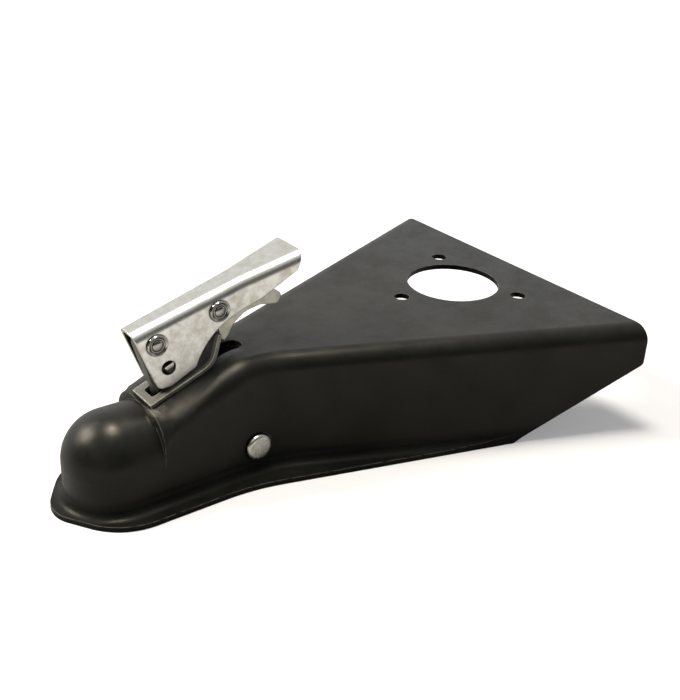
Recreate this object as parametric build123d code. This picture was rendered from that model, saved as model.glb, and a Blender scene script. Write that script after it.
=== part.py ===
from build123d import *

import os
from math import atan2, cos, hypot, radians, sin, sqrt, tan

# Trailer coupling head for a tow ball, in millimetres.
# The origin is the centre of the ball, +X points to the trailer and +Z up.
# The XZ plane is the plane of symmetry.

# Ball and pressed sheet
BALL_RADIUS = 25.4
BALL_CLEARANCE = 0.5
SHEET = 3.4
RIM_DROP = 26.4
PLATE_TOP = 50.7

# Plan of the shell
BODY_REAR = 321.9
REAR_HALF_WIDTH = 123.1
WALL_ANGLE = 22.2
NECK_BLEND = 60.0
BEND_RADIUS = 11.0

# Ramp between the dome and the top plate, and its shoulders behind the dome
RAMP_FOOT_X = 19.4
RAMP_STEP = 0.4
RAMP_ANGLE = 21.0
RAMP_BLEND = 30.0
SHOULDER_FLAT = 11.7
SHOULDER_NOSE = 6.0
SHOULDER_FALL = 15.0
SHOULDER_SAG = 8.4
SHOULDER_RADIUS = 7.0
SHOULDER_LENGTH = 44.0
SHOULDER_EASE = 0.03
SHOULDER_SPREAD = 1.5

# Rim flange
FLANGE_NOSE = 37.9
FLANGE_TIP_HALF = 6.6
FLANGE_TIP_RADIUS = 20.0
FLANGE_CHEEK_ANGLE = 57.0
FLANGE_CHEEK_RADIUS = 39.0
FLANGE_HALF_WIDTH = 41.9
FLANGE_FLARE_X = 71.2
FLANGE_FLARE_ANGLE = 16.1
FLANGE_FLARE_RADIUS = 130.0
FLANGE_FILLET = 7.0

# Cut of the rear lower corners
REAR_CUT_X = 241.9
REAR_CUT_ANGLE = 32.2
REAR_CUT_RADIUS = 4.0

# Jack bore, its bolt holes and the slot under the latch
JACK_X = 261.7
JACK_RADIUS = 31.75
JACK_BOLT_RING = 46.4
JACK_BOLT_RADIUS = 5.2
JACK_BOLT_COUNT = 3
SLOT_FRONT = 22.1
SLOT_REAR = 87.5
SLOT_HALF_WIDTH = 6.0

# Fits
RUNNING_FIT = 0.06
SIDE_PLAY = 0.3
LOOSE_FIT = 0.6

# Cross pin of the clamp
PIN_X = 81.7
PIN_Z = -5.9
PIN_RADIUS = 5.0
PIN_HEAD_RADIUS = 8.8
PIN_HEAD_HEIGHT = 3.2
PIN_HEAD_BEVEL = 0.8
PIN_SPACER_WALL = 2.6

# Strip on the ramp
SLIDE_FRONT = 21.2
SLIDE_HALF_WIDTH = 11.1
SLIDE_SHEET = 2.3
SLIDE_BEND_X = 63.2
SLIDE_BEND_RADIUS = 14.0
SLIDE_TAIL_ANGLE = 75.5
SLIDE_TAIL_LENGTH = 19.2
SLIDE_SLOT_FRONT = 24.6
SLIDE_SLOT_REAR = 44.9
SLIDE_SLOT_RADIUS = 1.5

# Latch lever: half width, web height and bend radius at its front, where it flares and at its rear
LEVER_SHEET = 2.5
LEVER_FRONT_X = 12.9
LEVER_FLARE_X = 82.9
LEVER_REAR_X = 121.9
LEVER_FRONT_HALF = 9.0
LEVER_FLARE_HALF = 11.2
LEVER_REAR_HALF = 16.4
LEVER_FRONT_TOP = 77.6
LEVER_REAR_TOP = 108.0
LEVER_BEND_RADIUS = 6.6

# Latch lever: side view of its walls
LEVER_NOSE_LEAN = 21.3
LEVER_HEEL = (27.0, 40.4)
LEVER_HEEL_RADIUS = 4.0
LEVER_SOLE_LENGTH = 7.7
LEVER_SOLE_RADIUS = 6.0
LEVER_KNEE = (51.2, 48.7)
LEVER_KNEE_RADIUS = 2.5
LEVER_THROAT = (60.1, 69.6)
LEVER_THROAT_RADIUS = 45.0
LEVER_BELLY = (94.5, 83.0)
LEVER_BELLY_RADIUS = 30.0
LEVER_GRIP = (117.6, 97.0)
LEVER_GRIP_RADIUS = 4.5
LEVER_GRIP_LEAN = 20.0

# Pivots and lock hole of the lever
LEVER_PIVOT_X = 26.9
LEVER_PIVOT_Z = 68.8
TRIGGER_PIVOT_X = 66.8
TRIGGER_PIVOT_Z = 80.7
LOCK_HOLE_X = 33.7
LOCK_HOLE_Z = 52.7
LOCK_HOLE_RADIUS = 4.5
LOCK_HOLE_RELIEF = 0.7

# Rivets of the lever and the trigger
RIVET_RADIUS = 4.0
RIVET_HEAD_RADIUS = 6.6
RIVET_RIM_RADIUS = 5.2
RIVET_CORE_RADIUS = 3.4
RIVET_HEAD_HEIGHT = 1.5
RIVET_DISH = 0.9
RIVET_DOME = 0.7

# Draw bolt from the lever to the clamp
BOLT_EYE_RADIUS = 9.5
BOLT_EYE_BEVEL = 1.2
BOLT_HALF_THICKNESS = 4.8
BOLT_RADIUS = 4.76
BOLT_TAPER = 28.0
BOLT_SEAT_X = 37.1
BOLT_END_ABOVE_RIM = 1.0

# Ball clamp
CLAMP_SHEET = 4.0
CLAMP_WEB_TOP = -7.0
CLAMP_HALF_WIDTH = 13.0
CLAMP_CUP_TOP = -6.0
CLAMP_CUP_BOTTOM = -14.5
CLAMP_CUP_ANGLE = 33.0
CLAMP_BALL_GAP = 0.3
CLAMP_CHEEK_FRONT = 52.0
CLAMP_EYE_RADIUS = 8.0
CLAMP_SLOT_LENGTH = 15.0

# Stack under the clamp
ROCKER_GAP = 0.4
ROCKER_RADIUS = 9.0
ROCKER_HEIGHT = 4.2
ROCKER_HALF_WIDTH = 9.0
WASHER_RADIUS = 9.0
WASHER_HEIGHT = 1.8
NUT_ACROSS_FLATS = 14.3
NUT_HEIGHT = 6.2
NUT_BEVEL = 0.8

# Springs
WIRE_SIDES = 6
CLAMP_SPRING_WIRE = 1.0
CLAMP_SPRING_RADIUS = 7.7
CLAMP_SPRING_TURNS = 5
SEAT_HEIGHT = 1.5
SEAT_HALF_WIDTH = 9.0
SEAT_HALF_LENGTH = 9.4
SEAT_CORNER = 3.0
SEAT_SLOT_HALF = 7.4
SEAT_SLOT_RADIUS = 1.5
TRIGGER_SPRING_WIRE = 0.6
TRIGGER_SPRING_TURNS = 3.5
TRIGGER_SPRING_LEG = 16.0

# Finger trigger, its side view as offsets (x, z) from its pivot
TRIGGER_SHEET = 2.0
TRIGGER_HALF_WIDTH = 7.6
TRIGGER_EYE_RADIUS = 6.8
TRIGGER_SLEEVE_WALL = 1.3
TRIGGER_PAD_START = 19.5
TRIGGER_SHIN = (0.6, -11.5)
TRIGGER_TOE = (5.0, -21.5)
TRIGGER_TOE_HALF = 2.2
TRIGGER_HEEL = (11.4, -12.0)
TRIGGER_BELLY = (19.4, -6.0)
TRIGGER_BELLY_RADIUS = 14.0
TRIGGER_NECK = (29.9, -4.2)
TRIGGER_FINGER_LOW = (42.4, -6.6)
TRIGGER_FINGER_END = (45.4, -0.4)
TRIGGER_FINGER_HIGH = (38.4, 4.6)
TRIGGER_FINGER_RADIUS = 3.0

# Sizes that follow from the driving ones
SOCKET_RADIUS = BALL_RADIUS + BALL_CLEARANCE
DOME_RADIUS = SOCKET_RADIUS + SHEET
RIM_BOTTOM = -RIM_DROP
FLANGE_TOP = RIM_BOTTOM + SHEET
RAMP_FOOT_Z = DOME_RADIUS + RAMP_STEP
BEYOND = 2.0 * SHEET
REACH = 2.0 * REAR_HALF_WIDTH
SAME_SPOT = 0.01

SIDE = Plane.XZ
ON_BASE = (Align.CENTER, Align.CENTER, Align.MIN)


def wall_half_width(x, inset=0.0):
    """Half width of the A-frame walls at a station, moved inwards by the inset."""
    slope = tan(radians(WALL_ANGLE))
    return REAR_HALF_WIDTH - (BODY_REAR - x) * slope - inset / cos(radians(WALL_ANGLE))


def wall_station(half_width, inset=0.0):
    """Station at which the A-frame walls have a half width."""
    slope = tan(radians(WALL_ANGLE))
    gap = REAR_HALF_WIDTH - half_width - inset / cos(radians(WALL_ANGLE))
    return BODY_REAR - gap / slope


def ramp_height(x, inset=0.0):
    """Height of the ramp's face at a station, moved inwards by the inset."""
    rise = (x - RAMP_FOOT_X) * tan(radians(RAMP_ANGLE))
    return RAMP_FOOT_Z + rise - inset / cos(radians(RAMP_ANGLE))


def ramp_station(z, inset=0.0):
    """Station at which the ramp's face reaches a height."""
    return RAMP_FOOT_X + (z - ramp_height(RAMP_FOOT_X, inset)) / tan(radians(RAMP_ANGLE))


def side_face(points):
    """Face in the plane of symmetry from (x, z) points."""
    return SIDE * make_face(Polyline(*points, close=True))


def plan_face(points):
    """Face in the horizontal plane from (x, y) points."""
    return make_face(Polyline(*points, close=True))


def mirrored(points):
    """Closed list of plan points from those of the +Y half."""
    return points + [(x, -y) for x, y in reversed(points)]


def round_at(face, spots, radius):
    """Rounds the corners of a side face that lie at the (x, z) spots."""
    corners = [
        v
        for v in face.vertices()
        if any(hypot(v.X - x, v.Z - z) < SAME_SPOT for x, z in spots)
    ]
    return fillet(corners, radius)


def round_plan(face, spots, radius):
    """Rounds the corners of a plan face at the (x, y) spots and their mirror images."""
    corners = [
        v
        for v in face.vertices()
        if any(hypot(v.X - x, abs(v.Y) - y) < SAME_SPOT for x, y in spots)
    ]
    return fillet(corners, radius)


def cross_rod(x, z, radius, y_from, y_to):
    """Round rod along Y."""
    spot = Plane((x, y_from, z), x_dir=(1, 0, 0), z_dir=(0, 1, 0))
    return extrude(spot * Circle(radius), y_to - y_from)


def facing_rear(x, z):
    """Placement on the plane of symmetry with local +Z to the rear."""
    return Plane((x, 0, z), x_dir=(0, 1, 0), z_dir=(1, 0, 0))


def both_sides(face, half_width):
    """Side face extruded to both sides of the plane of symmetry."""
    return extrude(face, half_width, both=True)


def shoulder_section(half, fall, top, radius):
    """Section of the shoulders: upright walls, rounded corners and a top that curves down to them."""
    span = half - SHOULDER_FLAT
    curve = (span**2 + fall**2) / (2 * fall)
    turn = atan2(span, curve - fall) / 2
    middle = (SHOULDER_FLAT + curve * sin(turn), top - curve * (1 - cos(turn)))
    hip = top - fall
    section = make_face(
        [
            Line((-half, 0), (half, 0)),
            Line((half, 0), (half, hip)),
            ThreePointArc((half, hip), middle, (SHOULDER_FLAT, top)),
            Line((SHOULDER_FLAT, top), (-SHOULDER_FLAT, top)),
            ThreePointArc((-SHOULDER_FLAT, top), (-middle[0], middle[1]), (-half, hip)),
            Line((-half, hip), (-half, 0)),
        ]
    )
    corners = [v for v in section.vertices() if abs(v.Y - hip) < SAME_SPOT]
    return fillet([v for v in corners if abs(v.X) > SHOULDER_FLAT + SAME_SPOT], radius)


def shoulder_arch(inset):
    """Form of the shoulders, which rise out of the dome, curved at first and level to the rear."""
    half = DOME_RADIUS - inset
    front = RAMP_FOOT_X + inset
    tight = SHOULDER_RADIUS - inset
    stations = [
        (front, half, SHOULDER_FALL, tight),
        (front + SHOULDER_NOSE, half + SHOULDER_EASE, SHOULDER_SAG, tight),
        (front + SHOULDER_LENGTH, half + SHOULDER_SPREAD, SHOULDER_EASE, BEND_RADIUS - inset),
    ]
    sections = []
    for x, width, fall, radius in stations:
        top = ramp_height(x, inset) + SHOULDER_EASE
        sections.append(facing_rear(x, 0) * shoulder_section(width, fall, top, radius))
    return loft(sections, ruled=True)


def shell_form(inset):
    """Solid form of the pressed shell without its flange, every face moved inwards by the inset."""
    half = DOME_RADIUS - inset
    top = PLATE_TOP - inset
    front = RAMP_FOOT_X + inset
    rear = BODY_REAR + BEYOND
    low = RIM_BOTTOM - BEYOND
    corner = (wall_station(half, inset), half)

    plan = plan_face(mirrored([(front, half), corner, (rear, wall_half_width(rear, inset))]))
    plan = round_plan(plan, [corner], NECK_BLEND + inset)
    block = Pos(0, 0, low) * extrude(plan, top - low + BEYOND)

    crest = (ramp_station(top, inset), top)
    foot = (front, ramp_height(front, inset))
    profile = side_face([(front, low), foot, crest, (rear, top), (rear, low)])
    profile = round_at(profile, [crest], RAMP_BLEND - inset)
    block = block & both_sides(profile, REACH)

    shoulder = ramp_height(front, inset) - 1
    bends = [e for e in block.edges() if e.bounding_box().min.Z > shoulder and abs(e.center().Y) > 1]
    block = fillet(bends, BEND_RADIUS - inset)

    around = Pos(front + SHOULDER_LENGTH / 2, 0, REACH / 2) * Box(SHOULDER_LENGTH, REACH, REACH)
    block = block - (around - shoulder_arch(inset))

    crown = facing_rear(0, 0) * Cylinder(half, front, align=ON_BASE)
    skirt_plan = Circle(half) + Pos(front / 2, 0) * Rectangle(front, 2 * half)
    skirt = Pos(0, 0, low) * extrude(skirt_plan, -low)
    return block + crown + skirt + Sphere(half)


def flange_outline():
    """Plan of the trimmed shell: the rim flange, then the walls behind it."""
    lean = tan(radians(FLANGE_CHEEK_ANGLE))
    tip = (-FLANGE_NOSE, FLANGE_TIP_HALF)
    cheek = (-FLANGE_NOSE + (FLANGE_HALF_WIDTH - FLANGE_TIP_HALF) / lean, FLANGE_HALF_WIDTH)
    turn = (FLANGE_FLARE_X, FLANGE_HALF_WIDTH)
    tail = flange_tail()
    rear = BODY_REAR + BEYOND
    walls = [(tail, wall_half_width(tail)), (rear, wall_half_width(rear))]
    outline = plan_face(mirrored([tip, cheek, turn] + walls))
    outline = round_plan(outline, [tip], FLANGE_TIP_RADIUS)
    outline = round_plan(outline, [cheek], FLANGE_CHEEK_RADIUS)
    return round_plan(outline, [turn], FLANGE_FLARE_RADIUS)


def flange_tail():
    """Station at which the flange runs out on the wall."""
    flare = tan(radians(FLANGE_FLARE_ANGLE))
    slope = tan(radians(WALL_ANGLE))
    start = FLANGE_HALF_WIDTH - FLANGE_FLARE_X * flare
    return (start - wall_half_width(0)) / (slope - flare)


def rear_cut():
    """Prism that cuts the lower rear corners of the walls."""
    tail = REAR_CUT_X
    rise = (BODY_REAR - tail) * tan(radians(REAR_CUT_ANGLE))
    corner = (BODY_REAR, RIM_BOTTOM + rise)
    beyond = BODY_REAR + 2 * BEYOND
    low = RIM_BOTTOM - 2 * BEYOND
    keep = side_face([(tail, RIM_BOTTOM), corner, (BODY_REAR, 2 * PLATE_TOP), (tail, 2 * PLATE_TOP)])
    keep = round_at(keep, [corner], REAR_CUT_RADIUS)
    whole = side_face([(tail, low), (beyond, low), (beyond, 2 * PLATE_TOP), (tail, 2 * PLATE_TOP)])
    return both_sides(whole - keep, REACH)


def coupler_body():
    """Pressed shell with its flange, jack bore, bolt holes, slot and pin holes."""
    blank_length = BODY_REAR + FLANGE_NOSE + 4 * BEYOND
    blank_middle = (BODY_REAR - FLANGE_NOSE) / 2
    blank = Pos(blank_middle, 0, RIM_BOTTOM + SHEET / 2) * Box(blank_length, 2 * REACH, SHEET)
    floor = Pos(0, 0, RIM_BOTTOM - 2 * BEYOND) * Box(8 * BODY_REAR, 4 * REACH, 4 * BEYOND)
    shell = shell_form(0.0) - floor + blank
    foot = [
        e
        for e in shell.edges()
        if abs(e.center().Z - FLANGE_TOP) < SAME_SPOT
        and e.bounding_box().size.Z < SAME_SPOT
        and e.bounding_box().max.X < BODY_REAR + 1.5 * BEYOND
        and e.bounding_box().min.X > -FLANGE_NOSE - BEYOND
        and e.bounding_box().size.Y < REACH
    ]
    shell = fillet(foot, FLANGE_FILLET)

    trim_height = SHEET + FLANGE_FILLET + BEYOND
    offcut = Rectangle(8 * BODY_REAR, 4 * REACH) - flange_outline()
    around = Pos(0, 0, RIM_BOTTOM - BEYOND / 2) * extrude(offcut, trim_height)
    shell = shell - around - rear_cut() - shell_form(SHEET)

    deep = 4 * PLATE_TOP
    shell = shell - Pos(JACK_X, 0, PLATE_TOP) * Cylinder(JACK_RADIUS, deep)
    bolts = Pos(JACK_X, 0, PLATE_TOP) * PolarLocations(JACK_BOLT_RING, JACK_BOLT_COUNT, start_angle=180)
    shell = shell - [spot * Cylinder(JACK_BOLT_RADIUS, 2 * BEYOND) for spot in bolts]
    slot_length = SLOT_REAR - SLOT_FRONT - 2 * SLOT_HALF_WIDTH
    slot = SlotCenterToCenter(slot_length, 2 * SLOT_HALF_WIDTH)
    shell = shell - Pos((SLOT_FRONT + SLOT_REAR) / 2, 0, DOME_RADIUS / 2) * extrude(slot, PLATE_TOP)
    shell = shell - cross_rod(PIN_X, PIN_Z, PIN_RADIUS, -REACH, REACH)
    for side in (-1, 1):
        spot_face = PIN_HEAD_RADIUS + LOOSE_FIT
        shell = shell - cross_rod(PIN_X, PIN_Z, spot_face, side * DOME_RADIUS, side * REACH)
    return shell


def clamp_pivot_pin():
    """Cross pin with a bevelled head on each wall."""
    edge = DOME_RADIUS + PIN_HEAD_HEIGHT
    pin = cross_rod(PIN_X, PIN_Z, PIN_RADIUS, -edge, edge)
    for side in (-1, 1):
        head = cross_rod(PIN_X, PIN_Z, PIN_HEAD_RADIUS, side * DOME_RADIUS, side * edge)
        rim = head.edges().filter_by(GeomType.CIRCLE)
        rim = [e for e in rim if abs(abs(e.center().Y) - edge) < SAME_SPOT]
        pin = pin + chamfer(rim, PIN_HEAD_BEVEL)
    return pin


def pivot_spacer(side):
    """Sleeve on the cross pin between the clamp and a wall."""
    inner = side * (CLAMP_HALF_WIDTH + SIDE_PLAY)
    radius = PIN_RADIUS + PIN_SPACER_WALL
    outer = side * max(SOCKET_RADIUS, wall_half_width(PIN_X - radius, SHEET))
    sleeve = cross_rod(PIN_X, PIN_Z, radius, inner, outer)
    return sleeve - cross_rod(PIN_X, PIN_Z, PIN_RADIUS, inner, outer)


def channel_slide():
    """Strip that lies on the ramp, with a slot for the bolt and an upturned tail."""
    ramp = (cos(radians(RAMP_ANGLE)), sin(radians(RAMP_ANGLE)))
    tail = (cos(radians(SLIDE_TAIL_ANGLE)), sin(radians(SLIDE_TAIL_ANGLE)))
    half_turn = tan(radians(SLIDE_TAIL_ANGLE - RAMP_ANGLE) / 2)
    start = (SLIDE_FRONT, ramp_height(SLIDE_FRONT))
    bend = (SLIDE_BEND_X, ramp_height(SLIDE_BEND_X))
    end = (bend[0] + SLIDE_TAIL_LENGTH * tail[0], bend[1] + SLIDE_TAIL_LENGTH * tail[1])

    def lifted(point, along, back=0.0):
        """Point on the strip's upper face above one on its lower face."""
        x = point[0] - SLIDE_SHEET * along[1] - back * along[0]
        z = point[1] + SLIDE_SHEET * along[0] - back * along[1]
        return (x, z)

    upper_bend = lifted(bend, ramp, SLIDE_SHEET * half_turn)
    strip = side_face([start, bend, end, lifted(end, tail), upper_bend, lifted(start, ramp)])
    strip = round_at(strip, [bend], SLIDE_BEND_RADIUS)
    strip = round_at(strip, [upper_bend], SLIDE_BEND_RADIUS - SLIDE_SHEET)
    slot_width = 2 * (BOLT_HALF_THICKNESS + LOOSE_FIT)
    slot = RectangleRounded(SLIDE_SLOT_REAR - SLIDE_SLOT_FRONT, slot_width, SLIDE_SLOT_RADIUS)
    slot = Pos((SLIDE_SLOT_FRONT + SLIDE_SLOT_REAR) / 2, 0, 0) * extrude(slot, 2 * PLATE_TOP)
    return both_sides(strip, SLIDE_HALF_WIDTH) - slot


def along_lever(x, front, flare, rear):
    """Value at a station of a size that changes evenly from front to flare and on to rear."""
    if x < LEVER_FLARE_X:
        return front + (flare - front) * (x - LEVER_FRONT_X) / (LEVER_FLARE_X - LEVER_FRONT_X)
    return flare + (rear - flare) * (x - LEVER_FLARE_X) / (LEVER_REAR_X - LEVER_FLARE_X)


def lever_half_width(x):
    """Outer half width of the lever at a station."""
    return along_lever(x, LEVER_FRONT_HALF, LEVER_FLARE_HALF, LEVER_REAR_HALF)


def lever_slope():
    """Rise of the lever's web for each millimetre to the rear."""
    return (LEVER_REAR_TOP - LEVER_FRONT_TOP) / (LEVER_REAR_X - LEVER_FRONT_X)


def lever_web(x):
    """Height of the lever's web at a station."""
    return LEVER_FRONT_TOP + (x - LEVER_FRONT_X) * lever_slope()


def lever_form(inset):
    """Tapered channel form of the lever, its walls and web moved inwards by the inset."""
    low = LEVER_HEEL[1] - BEYOND
    front = LEVER_FRONT_X - BEYOND
    rear = LEVER_REAR_X + BEYOND
    plan = plan_face(mirrored([(x, lever_half_width(x) - inset) for x in (front, LEVER_FLARE_X, rear)]))
    profile = side_face(
        [(front, low), (front, lever_web(front) - inset), (rear, lever_web(rear) - inset), (rear, low)]
    )
    block = Pos(0, 0, low) * extrude(plan, 2 * LEVER_REAR_TOP) & both_sides(profile, REACH)
    folds = [e for e in block.edges() if abs(e.center().Y) > 1 and e.bounding_box().min.Z > low + 1]
    folds = [e for e in folds if e.bounding_box().size.X > 1]
    return fillet(folds, LEVER_BEND_RADIUS - inset)


def lever_outline():
    """Side view of the lever's walls, open above its web."""
    high = 2 * LEVER_REAR_TOP
    sole = (LEVER_HEEL[0] + LEVER_SOLE_LENGTH, LEVER_HEEL[1])
    front_high = (LEVER_HEEL[0] - (high - LEVER_HEEL[1]) * tan(radians(LEVER_NOSE_LEAN)), high)
    rear_high = (LEVER_GRIP[0] + (high - LEVER_GRIP[1]) * tan(radians(LEVER_GRIP_LEAN)), high)
    corners = [
        (LEVER_HEEL, LEVER_HEEL_RADIUS),
        (sole, LEVER_SOLE_RADIUS),
        (LEVER_KNEE, LEVER_KNEE_RADIUS),
        (LEVER_THROAT, LEVER_THROAT_RADIUS),
        (LEVER_BELLY, LEVER_BELLY_RADIUS),
        (LEVER_GRIP, LEVER_GRIP_RADIUS),
    ]
    outline = side_face([front_high] + [spot for spot, radius in corners] + [rear_high])
    for spot, radius in corners:
        outline = round_at(outline, [spot], radius)
    return outline


def latch_lever():
    """Folded channel lever with its rivet holes and lock hole."""
    lever = (lever_form(0.0) - lever_form(LEVER_SHEET)) & both_sides(lever_outline(), REACH)
    holes = (
        (LEVER_PIVOT_X, LEVER_PIVOT_Z, RIVET_RADIUS),
        (TRIGGER_PIVOT_X, TRIGGER_PIVOT_Z, RIVET_RADIUS),
        (LOCK_HOLE_X, LOCK_HOLE_Z, LOCK_HOLE_RADIUS),
    )
    for x, z, radius in holes:
        lever = lever - cross_rod(x, z, radius, -REACH, REACH)
    return lever


def rivet(x, z):
    """Rivet through both lever walls, each head a coined ring round a domed core."""
    seat = lever_half_width(x + RIVET_HEAD_RADIUS)
    face = seat + RIVET_HEAD_HEIGHT
    floor = face - RIVET_DISH
    crown = floor + RIVET_DOME
    with BuildPart() as body:
        with BuildSketch(Plane.XY):
            with BuildLine():
                Polyline(
                    (0, 0),
                    (RIVET_RADIUS, 0),
                    (RIVET_RADIUS, seat),
                    (RIVET_HEAD_RADIUS, seat),
                    (RIVET_HEAD_RADIUS, (seat + face) / 2),
                    ((RIVET_HEAD_RADIUS + RIVET_RIM_RADIUS) / 2, face),
                    (RIVET_RIM_RADIUS, face),
                    (RIVET_RIM_RADIUS - RIVET_DISH / 2, floor),
                    (RIVET_CORE_RADIUS, floor),
                )
                TangentArc((0, crown), (RIVET_CORE_RADIUS, floor), tangent=(1, 0))
                Line((0, crown), (0, 0))
            make_face()
        revolve(axis=Axis.Y)
    half = body.part
    return Pos(x, 0, z) * (half + mirror(half, Plane.XZ))


def lever_spacer(side):
    """Washer between the bolt's eye and a lever wall."""
    outer_radius = RIVET_HEAD_RADIUS + SIDE_PLAY
    inner = side * (BOLT_HALF_THICKNESS + SIDE_PLAY)
    outer = side * (lever_half_width(LEVER_PIVOT_X - outer_radius) - LEVER_SHEET / cos(lever_taper()))
    washer = cross_rod(LEVER_PIVOT_X, LEVER_PIVOT_Z, outer_radius, inner, outer)
    return washer - cross_rod(LEVER_PIVOT_X, LEVER_PIVOT_Z, RIVET_RADIUS, inner, outer)


def lever_taper():
    """Angle in radians between a lever wall and the plane of symmetry."""
    return atan2(LEVER_FLARE_HALF - LEVER_FRONT_HALF, LEVER_FLARE_X - LEVER_FRONT_X)


def bolt_lean():
    """Angle in radians by which the bolt leans back on its way down to the clamp."""
    return atan2(BOLT_SEAT_X - LEVER_PIVOT_X, LEVER_PIVOT_Z - CLAMP_WEB_TOP)


def on_bolt(below):
    """Placement on the bolt's axis, at a distance below the eye, with local +Z up the bolt."""
    lean = bolt_lean()
    spot = (LEVER_PIVOT_X + below * sin(lean), 0, LEVER_PIVOT_Z - below * cos(lean))
    return Plane(spot, x_dir=(cos(lean), 0, sin(lean)), z_dir=(-sin(lean), 0, cos(lean)))


def bolt_depth(z):
    """Distance below the eye at which the bolt's axis reaches a height."""
    return (LEVER_PIVOT_Z - z) / cos(bolt_lean())


def rocker_depth():
    """Distance below the eye of the rocker's highest line."""
    return bolt_depth(CLAMP_WEB_TOP - CLAMP_SHEET) + ROCKER_GAP


def draw_bolt():
    """Eye bolt: a flat tapered eye on a round rod."""
    length = bolt_depth(RIM_BOTTOM + BOLT_END_ABOVE_RIM)
    across = (cos(bolt_lean()), 0, sin(bolt_lean()))
    flank = Plane((LEVER_PIVOT_X, 0, LEVER_PIVOT_Z), x_dir=across, z_dir=(0, -1, 0))
    lean_out = (BOLT_EYE_RADIUS - BOLT_RADIUS) / BOLT_TAPER
    shoulder = BOLT_EYE_RADIUS * sqrt(1 - lean_out**2)
    neck = plan_face(
        [
            (-shoulder, -BOLT_EYE_RADIUS * lean_out),
            (-BOLT_RADIUS, -BOLT_TAPER),
            (BOLT_RADIUS, -BOLT_TAPER),
            (shoulder, -BOLT_EYE_RADIUS * lean_out),
        ]
    )
    eye = extrude(flank * (neck + Circle(BOLT_EYE_RADIUS)), BOLT_HALF_THICKNESS, both=True)
    eye = chamfer(eye.edges().filter_by(GeomType.CIRCLE), BOLT_EYE_BEVEL)
    rod = on_bolt(length) * Cylinder(BOLT_RADIUS, length - BOLT_TAPER, align=ON_BASE)
    bolt = eye + rod
    bolt = bolt - cross_rod(LEVER_PIVOT_X, LEVER_PIVOT_Z, RIVET_RADIUS + RUNNING_FIT, -REACH, REACH)
    relief = LOCK_HOLE_RADIUS + LOCK_HOLE_RELIEF
    return bolt - cross_rod(LOCK_HOLE_X, LOCK_HOLE_Z, relief, -REACH, REACH)


def ball_clamp():
    """Folded arm on the cross pin with a cupped face for the ball."""
    under = CLAMP_WEB_TOP - CLAMP_SHEET
    cup_inner = BALL_RADIUS + CLAMP_BALL_GAP
    cup_outer = cup_inner + CLAMP_SHEET
    slice_height = CLAMP_CUP_TOP - CLAMP_CUP_BOTTOM
    wedge_half = 2 * BALL_RADIUS * tan(radians(CLAMP_CUP_ANGLE))
    wedge = plan_face([(0, 0), (2 * BALL_RADIUS, wedge_half), (2 * BALL_RADIUS, -wedge_half)])
    slab = Pos(0, 0, CLAMP_CUP_BOTTOM) * extrude(wedge, slice_height)
    cup = (Sphere(cup_outer) - Sphere(cup_inner)) & slab

    rear = PIN_X + CLAMP_EYE_RADIUS
    web_mid = (CLAMP_CHEEK_FRONT + PIN_X) / 2
    web = Pos((PIN_X - CLAMP_EYE_RADIUS) / 2, 0, under + CLAMP_SHEET / 2) * Box(
        PIN_X - CLAMP_EYE_RADIUS, 2 * CLAMP_HALF_WIDTH, CLAMP_SHEET
    )
    arm = web - Sphere((cup_inner + cup_outer) / 2)
    cheek_face = side_face(
        [
            (CLAMP_CHEEK_FRONT, under),
            (PIN_X, under),
            (PIN_X, PIN_Z + CLAMP_EYE_RADIUS),
            (web_mid, CLAMP_WEB_TOP + CLAMP_SHEET),
            (CLAMP_CHEEK_FRONT, CLAMP_WEB_TOP),
        ]
    )
    cheek_face = cheek_face + Pos(PIN_X, 0, PIN_Z) * (SIDE * Circle(CLAMP_EYE_RADIUS))
    hollow = CLAMP_HALF_WIDTH - CLAMP_SHEET
    between = Pos(PIN_X, 0, 0) * Box(4 * rear, 2 * hollow, 4 * rear)
    cheeks = both_sides(cheek_face, CLAMP_HALF_WIDTH) - between
    clamp = cup + arm + cheeks
    clamp = clamp - cross_rod(PIN_X, PIN_Z, PIN_RADIUS + RUNNING_FIT, -REACH, REACH)
    slot = SlotOverall(CLAMP_SLOT_LENGTH, 2 * (BOLT_RADIUS + LOOSE_FIT))
    return clamp - Pos(BOLT_SEAT_X, 0, under) * extrude(slot, 2 * CLAMP_SHEET, both=True)


def rocker_washer():
    """Washer with a round top, so that the clamp can tilt on it."""
    place = on_bolt(rocker_depth() + ROCKER_HEIGHT)
    block = Cylinder(ROCKER_RADIUS, 2 * ROCKER_HALF_WIDTH, rotation=(90, 0, 0))
    block = Pos(0, 0, ROCKER_HEIGHT - ROCKER_RADIUS) * block
    upper = Box(4 * ROCKER_RADIUS, 4 * ROCKER_RADIUS, 2 * ROCKER_RADIUS)
    block = block & Pos(0, 0, ROCKER_RADIUS) * upper
    return place * (block - Cylinder(BOLT_RADIUS, 4 * ROCKER_RADIUS))


def nut_washer():
    """Flat washer under the rocker."""
    ring = Circle(WASHER_RADIUS) - Circle(BOLT_RADIUS)
    return extrude(on_bolt(rocker_depth() + ROCKER_HEIGHT + WASHER_HEIGHT) * ring, WASHER_HEIGHT)


def lock_nut():
    """Hexagon nut under the washer, its corners bevelled."""
    depth = rocker_depth() + ROCKER_HEIGHT + WASHER_HEIGHT + NUT_HEIGHT
    corner = NUT_ACROSS_FLATS / sqrt(3)
    hexagon = extrude(RegularPolygon(corner, 6), NUT_HEIGHT)
    turned = extrude(Circle(corner), NUT_HEIGHT)
    turned = chamfer(turned.edges().group_by(Axis.Z)[0], NUT_BEVEL)
    return on_bolt(depth) * ((hexagon & turned) - Cylinder(BOLT_RADIUS, 4 * NUT_HEIGHT))


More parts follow.
